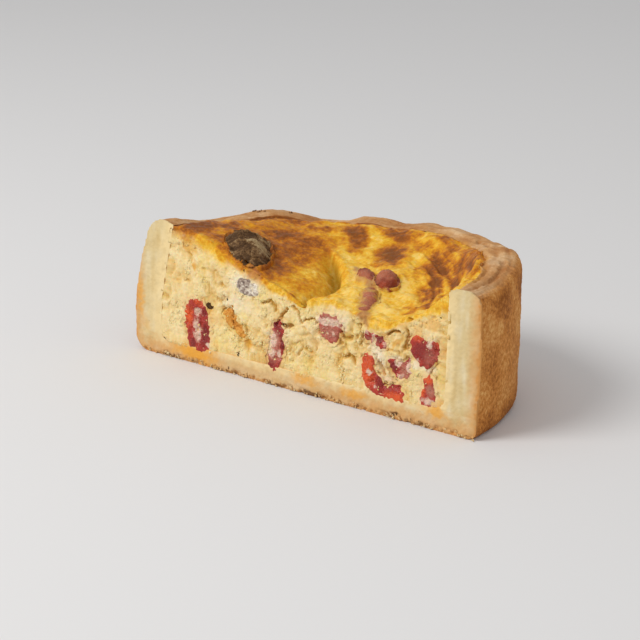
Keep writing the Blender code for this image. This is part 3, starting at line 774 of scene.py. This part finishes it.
# The colour of custard, inside and on top: shared by the filling and by what it laps over
def buildCustardGroup():
    look = fillingLook
    wanted = {"Vector": "NodeSocketVector"} | {tone: "NodeSocketFloat" for tone in custardTones}
    group, start, end = newGroup("custard colour", wanted, {"Color": "NodeSocketColor"})
    place, tones = start.outputs["Vector"], start.outputs
    patchy = mottled(group, place, 150.0, 0.45)
    # Deeper in the crevices between the curds the crumb is painted a darker ochre: partly a deeper yellow,
    # partly painted shade
    deep = maths(group, "MULTIPLY_ADD", patchy, 0.4, times(group, tones["crevice"], 0.8))
    inside = ramp(group, deep, (0.1, 0.42, 1.0), look["crumbColours"])
    tinted = mottled(group, place, 95.0, 0.4)
    inside = mixed(group, ranged(group, tinted, 0.5, 0.85, 0.0, 0.5), inside, look["yolkColour"])
    inside = coated(group, inside, tones, (
        ("milky", 0.8, look["milkColour"]), ("blush", 0.22, look["blushColour"]),
        ("stain", 0.85, look["stainColour"])))
    blotchy = mottled(group, place, 170.0, 0.65)
    depth = maths(group, "ADD", ranged(group, blotchy, 0.0, 1.0, -0.2, 0.22), tones["browned"])
    baked = ramp(group, depth, (0.0, 0.2, 0.4, 0.6, 0.8, 1.0), look["skinColours"])
    baked = coated(group, baked, tones, (
        ("mauve", 0.8, look["mauveColour"]), ("shade", 0.8, look["shadeColour"])))
    feed(group, end.inputs["Color"], mixed(group, tones["skin"], inside, baked))
    return group


def custardColour(tree, place):
    tones = {tone: painted(tree, tone) for tone in custardTones}
    return placeGroup(tree, custardGroup, Vector=place, **tones).outputs["Color"]


def fillingMaterial():
    material, tree, shader, place = newMaterial("baked custard", Specular_IOR_Level=0.06,
                                                Subsurface_Weight=0.12, Subsurface_Scale=0.002)
    skin = painted(tree, "skin")
    feed(tree, shader.inputs["Base Color"], custardColour(tree, place))
    feed(tree, shader.inputs["Roughness"], ranged(tree, skin, 0.0, 1.0, 0.6, 0.36))
    crumble(tree, shader, place, 800.0, ranged(tree, skin, 0.0, 1.0, 0.55, 0.25), 0.0004)
    return material


custardGroup = buildCustardGroup()


def readTones(piece):
    found = {tone: np.empty(len(piece.data.vertices)) for tone in custardTones}
    for tone, values in found.items():
        piece.data.attributes[tone].data.foreach_get("value", values)
    return found


# Curds that stand loose on the cut, on custard and on what lies in it
def makeCurds(pieces):
    grounds = [(treeOf(piece), [face.vertices[0] for face in piece.data.polygons], readTones(piece))
               for piece in pieces]
    look = fillingLook
    chance = random.Random(9)
    spots, tones = [], {tone: [] for tone in custardTones}
    while len(spots) < look["curds"]:
        x, z = chance.uniform(*look["curdSpan"]), chance.uniform(*look["curdHeights"])
        hits = [(tree.ray_cast(Vector((x * mm, cutY - 0.01, z * mm)), Vector((0, 1, 0))), index)
                for index, (tree, _, _) in enumerate(grounds)]
        hits = [(hit[0].y, hit[2], index) for hit, index in hits if hit[0]]
        if not hits or min(hits)[0] > cutY + look["curdDepth"] * mm:
            continue
        y, face, index = min(hits)
        onCustard = index == 0
        if onCustard and noise.noise(Vector((x, 0, z)) / 6) + chance.uniform(-0.3, 0.3) < 0.1:
            continue
        if not onCustard and chance.random() < 0.92:
            continue
        corner, values = grounds[index][1][face], grounds[index][2]
        if values["skin"][corner] > 0.5:
            continue
        size = drawSize(chance, look["curdSizes"], 0.88)
        size *= 1 if onCustard else 0.6
        place = x, (y - cutY) / mm + 0.25 * size, z
        spots.append((place, (size * chance.uniform(1, 1.7), 0.7 * size, size)))
        for tone in custardTones:
            tones[tone].append(float(values[tone][corner]) * (0.3 if tone == "crevice" else 1))
    curds = strew("curds", spots, 9)
    each = len(curds.data.vertices) // len(spots)
    paint(curds, **{tone: np.repeat(values, each) for tone, values in tones.items()})
    finishWith(curds, pieces[0].data.materials[0], "custard")


# Dark specks of herb on the cut: (x, z, size)
herbSpecks = ((-40.8, 23.2, 0.95), (-39.9, 22.7, 0.9), (-40.5, 23.9, 0.6), (-41.4, 22.6, 0.45),
    (-39.3, 23.3, 0.5), (-32.5, 27.4, 0.45), (-32.1, 27.0, 0.3), (-26.4, 8.6, 0.5), (-26.7, 7.7, 0.45),
    (-25.9, 9.1, 0.3), (44.3, 2.3, 0.5), (43.1, 2.0, 0.4), (60.2, 39.4, 0.35), (-69.8, 12.2, 0.25),
    (-6.1, 23.4, 0.4))
herbColours = (0.035, 0.016, 0.006), (0.15, 0.075, 0.025)


def makeHerbs(pieces):
    trees = [treeOf(piece) for piece in pieces]
    spots = []
    for x, z, size in herbSpecks:
        levels = [surfaceAt(tree, np.array([(x, 0, z)]), False)[0][0] for tree in trees]
        spots.append(((x, np.nanmin(levels) + 0.1, z), (size * 1.3, size * 0.5, size)))
    herbs = strew("herb_specks", spots, 14)
    material, tree, shader, place = newMaterial("dried herb", Roughness=0.7, Specular_IOR_Level=0.1)
    patchy = mottled(tree, place, 500.0, 0.4)
    feed(tree, shader.inputs["Base Color"], ramp(tree, patchy, (0.2, 0.9), herbColours))
    finishWith(herbs, material, "custard")


# Tomato, mushroom and onion. Marks lie in the plane of the cut for a piece in the cut, and in plan
# for a piece on top. Each piece lies in the custard's own surface, and custard laps over its edges

vegetableLook = {
    "square": 0.42, "cutGrow": 1.1, "topGrow": {"mushroom_cap": 3.4, "tomato_curl": 0.5}, "relief": 0.9,
    "rise": 0.95, "sink": 0.5, "wrinkles": {"mushroom_cap": 1.8},
    "topRise": {"tomato_lobe": 0.75, "tomato_ribbon": 0.42, "mushroom_cap": 1.3},
    "topSink": 0.3, "topSlope": 2,
    "topShore": {"tomato_lobe": 0.8, "tomato_curl": 0.4, "tomato_ribbon": 0.4},
    "rawColours": ((0.47, 0.036, 0.018), (0.22, 0.013, 0.010), (0.46, 0.15, 0.095)),     # red, dark, pink
    "bakedColours": ((0.44, 0.135, 0.06), (0.24, 0.045, 0.022), (0.45, 0.15, 0.075)),
    "brightColour": (0.72, 0.095, 0.014), "creamColour": (0.74, 0.50, 0.37),
    "capColours": ((0.075, 0.036, 0.013), (0.20, 0.105, 0.04), (0.40, 0.29, 0.15)),
    "sliceColours": ((0.05, 0.03, 0.028), (0.36, 0.27, 0.21), (0.84, 0.76, 0.62)),
    "onionColours": ((0.52, 0.17, 0.02), (0.78, 0.40, 0.08)),
}

# How much lower the bottom of a piece in the cut reaches than its solid, in mm
vegetableReach = {
    "tomato_wedge": 2.6, "tomato_sliver": 2.8, "tomato_crescent": 2.4, "tomato_tip": 2.4,
    "tomato_heart": 1.2, "tomato_seeded": 0.8,
}
vegetableMarks = {
    "tomato_wedge": {
        "bright": ((-50.4, 18, 2.2, 4.6, 0, 1), (-45, 24, 3, 1.8, 0, 0.9)),
        "cream": ((-46, 20, 2, 1.8, 25, 0.7), (-46.2, 13, 2, 5.2, 8, 0.75), (-40.9, 8.6, 1.2, 1, 0, 1)),
        "deep": ((-42, 12, 2.2, 4.5, 0, 1), (-47.9, 7.4, 1.2, 2.4, 0, 1), (-42.9, 20.5, 1.6, 2, 0, 0.8)),
    },
    "tomato_sliver": {
        "deep": ((-9, 22.2, 2.4, 1.3, 0, 1), (-8, 20, 1.6, 1.5, 0, 1), (-6.6, 16, 0.8, 3.2, 0, 1),
            (-11.2, 8, 2.2, 1.8, 0, 0.9)),
        "cream": ((-10.8, 17, 2.2, 4, 0, 1), (-11, 12.5, 2.2, 1.8, 0, 0.85),
            (-7.8, 12.5, 0.8, 1.8, 0, 0.7)),
        "pink": ((-8.6, 17, 1.5, 4, 0, 1), (-9.6, 11.5, 2.8, 3.2, 0, 0.8)),
    },
    "tomato_seeded": {
        "pink": ((14.4, 31.4, 5.5, 2, 0, 0.9), (14.8, 25, 6, 3.4, 0, 0.9)),
        "cream": ((14, 28.6, 5.6, 1.5, 5, 1), (13, 24.4, 1, 0.8, 0, 0.7), (16.4, 24.8, 0.8, 1, 0, 0.7)),
        "deep": ((14, 30.6, 3, 0.8, 5, 0.5),),
    },
    "tomato_crescent": {
        "bright": ((30.9, 14.5, 3.4, 7, 0, 1), (42.8, 8, 4.5, 1.8, 0, 1)),
        # The first cream mark, in the middle of the crescent, is a painted highlight
        "cream": ((31.9, 14.6, 1.4, 1.2, 0, 1), (35, 9.8, 1, 0.8, 0, 0.6)),
        "deep": ((36.6, 11.6, 2.4, 2.6, 0, 0.7), (41.8, 12.4, 1.8, 1.5, 0, 1)),
    },
    "tomato_core": {
        "deep": ((41.8, 18.6, 2.4, 1.8, 0, 1), (45.6, 20.6, 0.9, 1.6, 0, 0.8)),
        "pink": ((47, 18, 2.6, 3, 0, 1),),
        "cream": ((43.6, 20, 1.5, 1.5, 0, 1), (48.6, 20, 1.2, 2.4, 0, 0.9), (45, 16, 1.5, 0.8, 30, 0.7)),
    },
    "tomato_shred": {
        "deep": ((31.3, 25.9, 0.9, 1.1, 0, 1), (35.9, 26.6, 1.8, 1, 20, 1)),
        "pink": ((32.5, 25, 3, 2, 0, 0.8),),
        "cream": ((33.4, 26.8, 1.1, 1.8, 0, 0.9), (38, 25.4, 0.8, 1, 0, 0.6), (30.6, 28, 0.8, 0.8, 0, 0.7)),
    },
    "tomato_heart": {
        "bright": ((51.6, 31.4, 2.8, 1.7, 0, 1), (60, 31, 1.6, 2.4, 0, 0.9)),
        "cream": ((56.6, 30, 1.3, 2.3, 0, 1), (51.5, 22.6, 1, 1.4, 0, 0.6)),
        "pink": ((57, 25, 3.4, 2.6, 60, 0.45),),
        "deep": ((54, 26.4, 5, 3.8, 20, 0.8),),
    },
    "tomato_tip": {
        "bright": ((56.8, 17.6, 1.4, 1.9, 0, 1), (54.5, 13, 1.1, 3, 0, 1)),
        "pink": ((57.6, 13.4, 1.8, 2.6, 0, 1),),
        "cream": ((57.6, 9.6, 3.4, 1.2, 0, 0.9),),
    },
    "tomato_curl": {
        "deep": ((6, 30, 6, 1.6, 140, 1), (12, 25, 3, 2, 140, 0.5)),
        "pink": ((11, 24.5, 5, 2, 140, 0.7),),
    },
    # On the lobe the pink marks at its back left are painted highlight, and the first deep mark, on its
    # right side, is painted shade
    "tomato_lobe": {
        "pink": ((19, 25, 2.4, 2, 0, 0.8), (22, 25.5, 1, 2, 0, 0.6)),
        "bright": ((20, 21.4, 2.6, 1.2, 20, 0.3),),
        "deep": ((23.8, 22.8, 1.8, 3, 30, 1), (17.4, 23.4, 1.4, 2, 0, 0.8)),
    },
    "tomato_ribbon": {
        "pink": ((22.4, 11.5, 10, 2.4, 119, 0.9),),
        "deep": ((19.5, 17.5, 3, 1.2, 119, 0.6),),
    },
    "mushroom_cap": {
        "bright": ((-29, 12.5, 8, 1.4, -52, 0.8), (-26, 7, 5, 1.0, -50, 0.6), (-35, 19, 4, 1.5, -10, 0.5)),
        "deep": ((-35, 13.5, 5, 3.4, 60, 0.9), (-25, 6, 5, 4, 60, 0.9), (-32, 7, 3, 2, 60, 0.5)),
    },
}


def makeVegetable(node, material, slotName, seed, filling, fillingTree, wholeTree):
    look = vegetableLook
    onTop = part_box(node)[0][1] > cutY + 2 * mm or node == "tomato_ribbon"
    axis, up = (2, 1) if onTop else (1, 2)
    piece = copySolids((node,), node + "_dressed", look["square"])
    outward = 1 if onTop else -1
    cutFiner(piece, 1, lambda c, n: n[:, axis] * outward > 0.3)
    places, normals = readPlaces(piece), readNormals(piece)
    low, high = places[:, 2].min(), places[:, 2].max()
    places[:, 2] -= vegetableReach.get(node, 0) * (high - places[:, 2]) / (high - low)
    rough = look["relief"] * (clouds(places, 2.4, seed) + 0.7 * clouds(places, 1.1, seed + 1) * (not onTop))
    grow = look["topGrow"].get(node, 1.4) if onTop else look["cutGrow"]
    moved = places + normals * (grow + rough)[:, None]
    seen = smooth(0.2, 0.6, normals[:, axis] * outward)

    # Distance from the piece's edge, seen from the front or from above
    hidden = np.nonzero(np.abs(normals[:, axis]) < 0.25)[0]
    edge = KDTree(len(hidden))
    for index in hidden:
        edge.insert((moved[index, 0], moved[index, up], 0), int(index))
    edge.balance()
    inland = np.array([edge.find((spot[0], spot[up], 0))[2] for spot in moved])

    marks = vegetableMarks.get(node, {})
    tones = {tone: blots(places, 0, up, marks.get(tone, ()), 0.7, 1.2, seed + 5, 0.4)
             for tone in ("cream", "bright", "deep", "pink")}
    smears = smooth(0.2, 0.5, clouds(places, 1.5, seed + 3) + 0.6 * clouds(places, 0.7, seed + 4))
    pulp = cells(places, 0.75, seed + 6)
    if onTop:
        shore = inland + look["topShore"].get(node, 0) + 0.4 * clouds(places, 2.2, seed + 11)
        proud = look["topRise"].get(node, 0.65) * smooth(0, look["topSlope"], shore) - look["topSink"]
        across = places @ np.array(((0.08, -0.3), (0.06, 0.4), (0, 0)))
        wrinkles = 1 - puffs(np.column_stack((across, 0 * inland)), 1, seed + 8, 2)
        lapped = fade(-0.2, 0.4, proud + 0.3 * clouds(places, 2, seed + 9))
        floor = np.minimum(proud, 0.1)
        proud += 0.55 * (0.5 - cells(places, 1.3, seed + 6)) * smooth(0.5, 1.5, shore)
        proud -= look["wrinkles"].get(node, 0.5) * (wrinkles - 0.3) * smooth(0.5, 2.5, shore)
        proud = np.maximum(proud, floor)
        # Creases of the wrinkles are painted darker, as painted shade; on the mushroom the crests are
        # painted paler, as painted highlight
        tones["deep"] = np.maximum(tones["deep"], smooth(0.45, 0.9, wrinkles))
        if node == "mushroom_cap":
            tones["bright"] = np.maximum(tones["bright"], 0.7 * smooth(0.45, 0.15, wrinkles))
    else:
        shore = inland + 0.7 * clouds(places, 1.6, seed + 7)
        proud = look["rise"] * smooth(0, 1.3, shore) - look["sink"]
        proud += 0.5 * (0.45 - pulp) * smooth(0.3, 1.2, shore)
        proud -= 0.6 * smears * (0.25 + 0.5 * tones["cream"])
        lapped = fade(-0.35, 0.45, proud + 0.2 * clouds(places, 1.2, seed + 9))
    surface, _ = surfaceAt(wholeTree, moved, onTop)
    level = np.where(np.isnan(surface), moved[:, axis], surface + outward * proud)
    moved[:, axis] += (level - moved[:, axis]) * seen
    hiddenFront = np.clip(places[:, 1].min(), 0.02, 2.4)
    moved[:, 1] = np.maximum(moved[:, 1], np.where(seen > 0.5, min(hiddenFront, 0.9), hiddenFront))
    writePlaces(piece, moved)

    # The custard's own tones at the same place, for what laps over the piece
    _, faces = surfaceAt(fillingTree, moved, onTop)
    corners = np.array([filling.data.polygons[face].vertices[0] for face in faces])
    for tone, values in readTones(filling).items():
        tones[tone] = np.where(faces < 0, 0, values[corners])
    paint(piece, lapped=lapped, **tones)
    finishWith(piece, material, slotName, node)
    return piece


def tomatoMaterial(name, colours, gloss):
    red, dark, pink = colours
    material, tree, shader, place = newMaterial(name, Specular_IOR_Level=gloss, Subsurface_Weight=0.15,
                                                Subsurface_Scale=0.0015)
    patchy = mottled(tree, place, 260.0, 0.5)
    flesh = mixed(tree, ranged(tree, patchy, 0.35, 0.85, 0.0, 0.85), red, dark)
    flesh = mixed(tree, painted(tree, "deep"), flesh, dark)
    bright = times(tree, painted(tree, "bright"), ranged(tree, patchy, 0.4, 0.9, 1.0, 0.45))
    flesh = mixed(tree, bright, flesh, vegetableLook["brightColour"])
    flesh = mixed(tree, painted(tree, "pink"), flesh, pink)
    fleck = mottled(tree, place, 420.0, 0.5)
    pale = ranged(tree, maths(tree, "ADD", painted(tree, "cream"), fleck), 0.7, 1.25)
    flesh = mixed(tree, pale, flesh, vegetableLook["creamColour"])
    lapped = ranged(tree, maths(tree, "MULTIPLY_ADD", fleck, 0.6, painted(tree, "lapped")), 0.75, 1.05)
    feed(tree, shader.inputs["Base Color"], mixed(tree, lapped, flesh, custardColour(tree, place)))
    crumble(tree, shader, place, 1300.0, 0.7, 0.0004)
    feed(tree, shader.inputs["Roughness"], ranged(tree, lapped, 0.0, 1.0, 0.22, 0.55))
    return material


def mottledMaterial(name, colours, perMetre, roughness):
    material, tree, shader, place = newMaterial(name, Roughness=roughness, Specular_IOR_Level=0.12)
    patchy = mottled(tree, place, perMetre, 0.6)
    tone = maths(tree, "MULTIPLY_ADD", painted(tree, "bright"), 0.5, patchy)
    tone = maths(tree, "SUBTRACT", tone, times(tree, painted(tree, "deep"), 0.4))
    stops = np.linspace(0.2, 0.8, len(colours)).tolist()
    lapped = ranged(tree, maths(tree, "MULTIPLY_ADD", patchy, 0.6, painted(tree, "lapped")), 0.5, 1.1)
    colour = mixed(tree, lapped, ramp(tree, tone, stops, colours), custardColour(tree, place))
    feed(tree, shader.inputs["Base Color"], colour)
    crumble(tree, shader, place, 1100.0, 0.6, 0.0004)
    return material


def makeQuiche():
    vegetables = [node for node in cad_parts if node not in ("pastry_case", "custard")]
    crust = copySolids(("pastry_case",), "crust", crustLook["square"])
    # The faces of the cut, of the rim and of the skin are cut finer, as they are seen best
    cutFiner(crust, crustLook["cutCuts"], lambda c, n: (c[:, 1] < 1) & (n[:, 1] < -0.6))
    cutFiner(crust, crustLook["rimCuts"], lambda c, n: (c[:, 2] > 43.5) & (c[:, 1] > 1))
    filling = copySolids(("custard", *vegetables), "filling", fillingLook["square"])
    cutFiner(filling, fillingLook["cutCuts"], lambda c, n: (c[:, 1] < 2.4) & (n[:, 1] < -0.25))
    cutFiner(filling, fillingLook["topCuts"], lambda c, n: (c[:, 2] > 30) & (n[:, 2] > 0.3) & (c[:, 1] > 2))
    sculptCrust(crust, treeOf(filling))
    finishWith(makeCrumbs(treeOf(crust)), crust.data.materials[0], "pastry")
    print("crust made:", len(crust.data.polygons), "faces")

    onTopTomatoes = "tomato_curl", "tomato_lobe", "tomato_ribbon"
    inCut = [node for node in vegetables if "tomato" in node and node not in onTopTomatoes]
    cutTomatoes = copySolids(inCut, "cut tomatoes", 0.8)
    topTomatoes = copySolids(onTopTomatoes, "top tomatoes", 0.8)
    sculptFilling(filling, treeOf(crust), treeOf(cutTomatoes), treeOf(topTomatoes))
    bpy.data.objects.remove(cutTomatoes)
    bpy.data.objects.remove(topTomatoes)
    print("filling made:", len(filling.data.polygons), "faces")

    look = vegetableLook
    finishes = {
        "tomato": tomatoMaterial("roasted tomato", look["rawColours"], 0.4),
        "baked": tomatoMaterial("browned tomato", look["bakedColours"], 0.15),
        "cap": mottledMaterial("roasted mushroom", look["capColours"], 220.0, 0.55),
        "slice": mottledMaterial("sliced mushroom", look["sliceColours"], 125.0, 0.5),
        "onion": mottledMaterial("browned onion", look["onionColours"], 200.0, 0.35),
    }
    fillingTree, wholeTree = treeOf(filling), treeOf(filling, crust)
    dressed = []
    own = {"mushroom_cap": "cap", "mushroom_slice": "slice"} | dict.fromkeys(onTopTomatoes, "baked")
    for seed, node in enumerate(vegetables):
        kind = node.split("_")[0]
        finish = finishes[own.get(node, kind)]
        dressed.append(makeVegetable(node, finish, kind, 40 + 9 * seed, filling, fillingTree, wholeTree))
    makeCurds([filling, *dressed])
    makeHerbs([filling, crust, *dressed])
    print("vegetables, curds and herbs made")


makeQuiche()


# Floor, light and camera

stageLook = {
    "floorColour": (0.72, 0.705, 0.69), "skyColour": (0.97, 0.98, 1.0), "skyStrength": 0.6,
    "keyPlace": (-0.45, -0.9, 0.95), "keySize": 0.7, "keyPower": 11.5, "azimuth": 37.5, "elevation": 16.9,
    "roll": 1.45, "distance": 0.77, "aim": (-0.0469, 0.0366, 0), "lens": 109.05,
}


def makeStage():
    look = stageLook
    bpy.ops.mesh.primitive_plane_add(size=8, location=(0, 0, 0))
    floor = bpy.context.active_object
    floor.name = "floor"
    material = newMaterial("pale floor", Base_Color=(*look["floorColour"], 1), Roughness=0.8)[0]
    floor.data.materials.append(material)

    world = bpy.data.worlds.new("soft daylight")
    world.use_nodes = True
    background = world.node_tree.nodes["Background"]
    background.inputs["Color"].default_value = (*look["skyColour"], 1)
    background.inputs["Strength"].default_value = look["skyStrength"]
    bpy.context.scene.world = world

    lamp = bpy.data.lights.new("window", "AREA")
    lamp.shape = "DISK"
    lamp.size = look["keySize"]
    lamp.energy = look["keyPower"]
    window = newObject("window", lamp)
    window.location = look["keyPlace"]
    window.rotation_euler = (-Vector(look["keyPlace"])).to_track_quat("-Z", "Y").to_euler()
    bpy.context.scene.view_settings.view_transform = "Standard"


def makeCamera():
    look = stageLook
    azimuth, elevation, roll = (math.radians(look[name]) for name in ("azimuth", "elevation", "roll"))
    back = Vector((math.sin(azimuth) * math.cos(elevation), -math.cos(azimuth) * math.cos(elevation),
                   math.sin(elevation)))
    right = (-back).cross(Vector((0, 0, 1))).normalized()
    turned = Matrix.Rotation(roll, 3, back) @ Matrix((right, back.cross(right), back)).transposed()
    camera = newObject("camera", bpy.data.cameras.new("camera"))
    place = Vector(look["aim"]) + back * look["distance"]
    camera.matrix_world = Matrix.Translation(place) @ turned.to_4x4()
    camera.data.lens = look["lens"]
    camera.data.clip_start = 0.01
    bpy.context.scene.camera = camera


makeStage()
makeCamera()
print("stage, light and camera made")
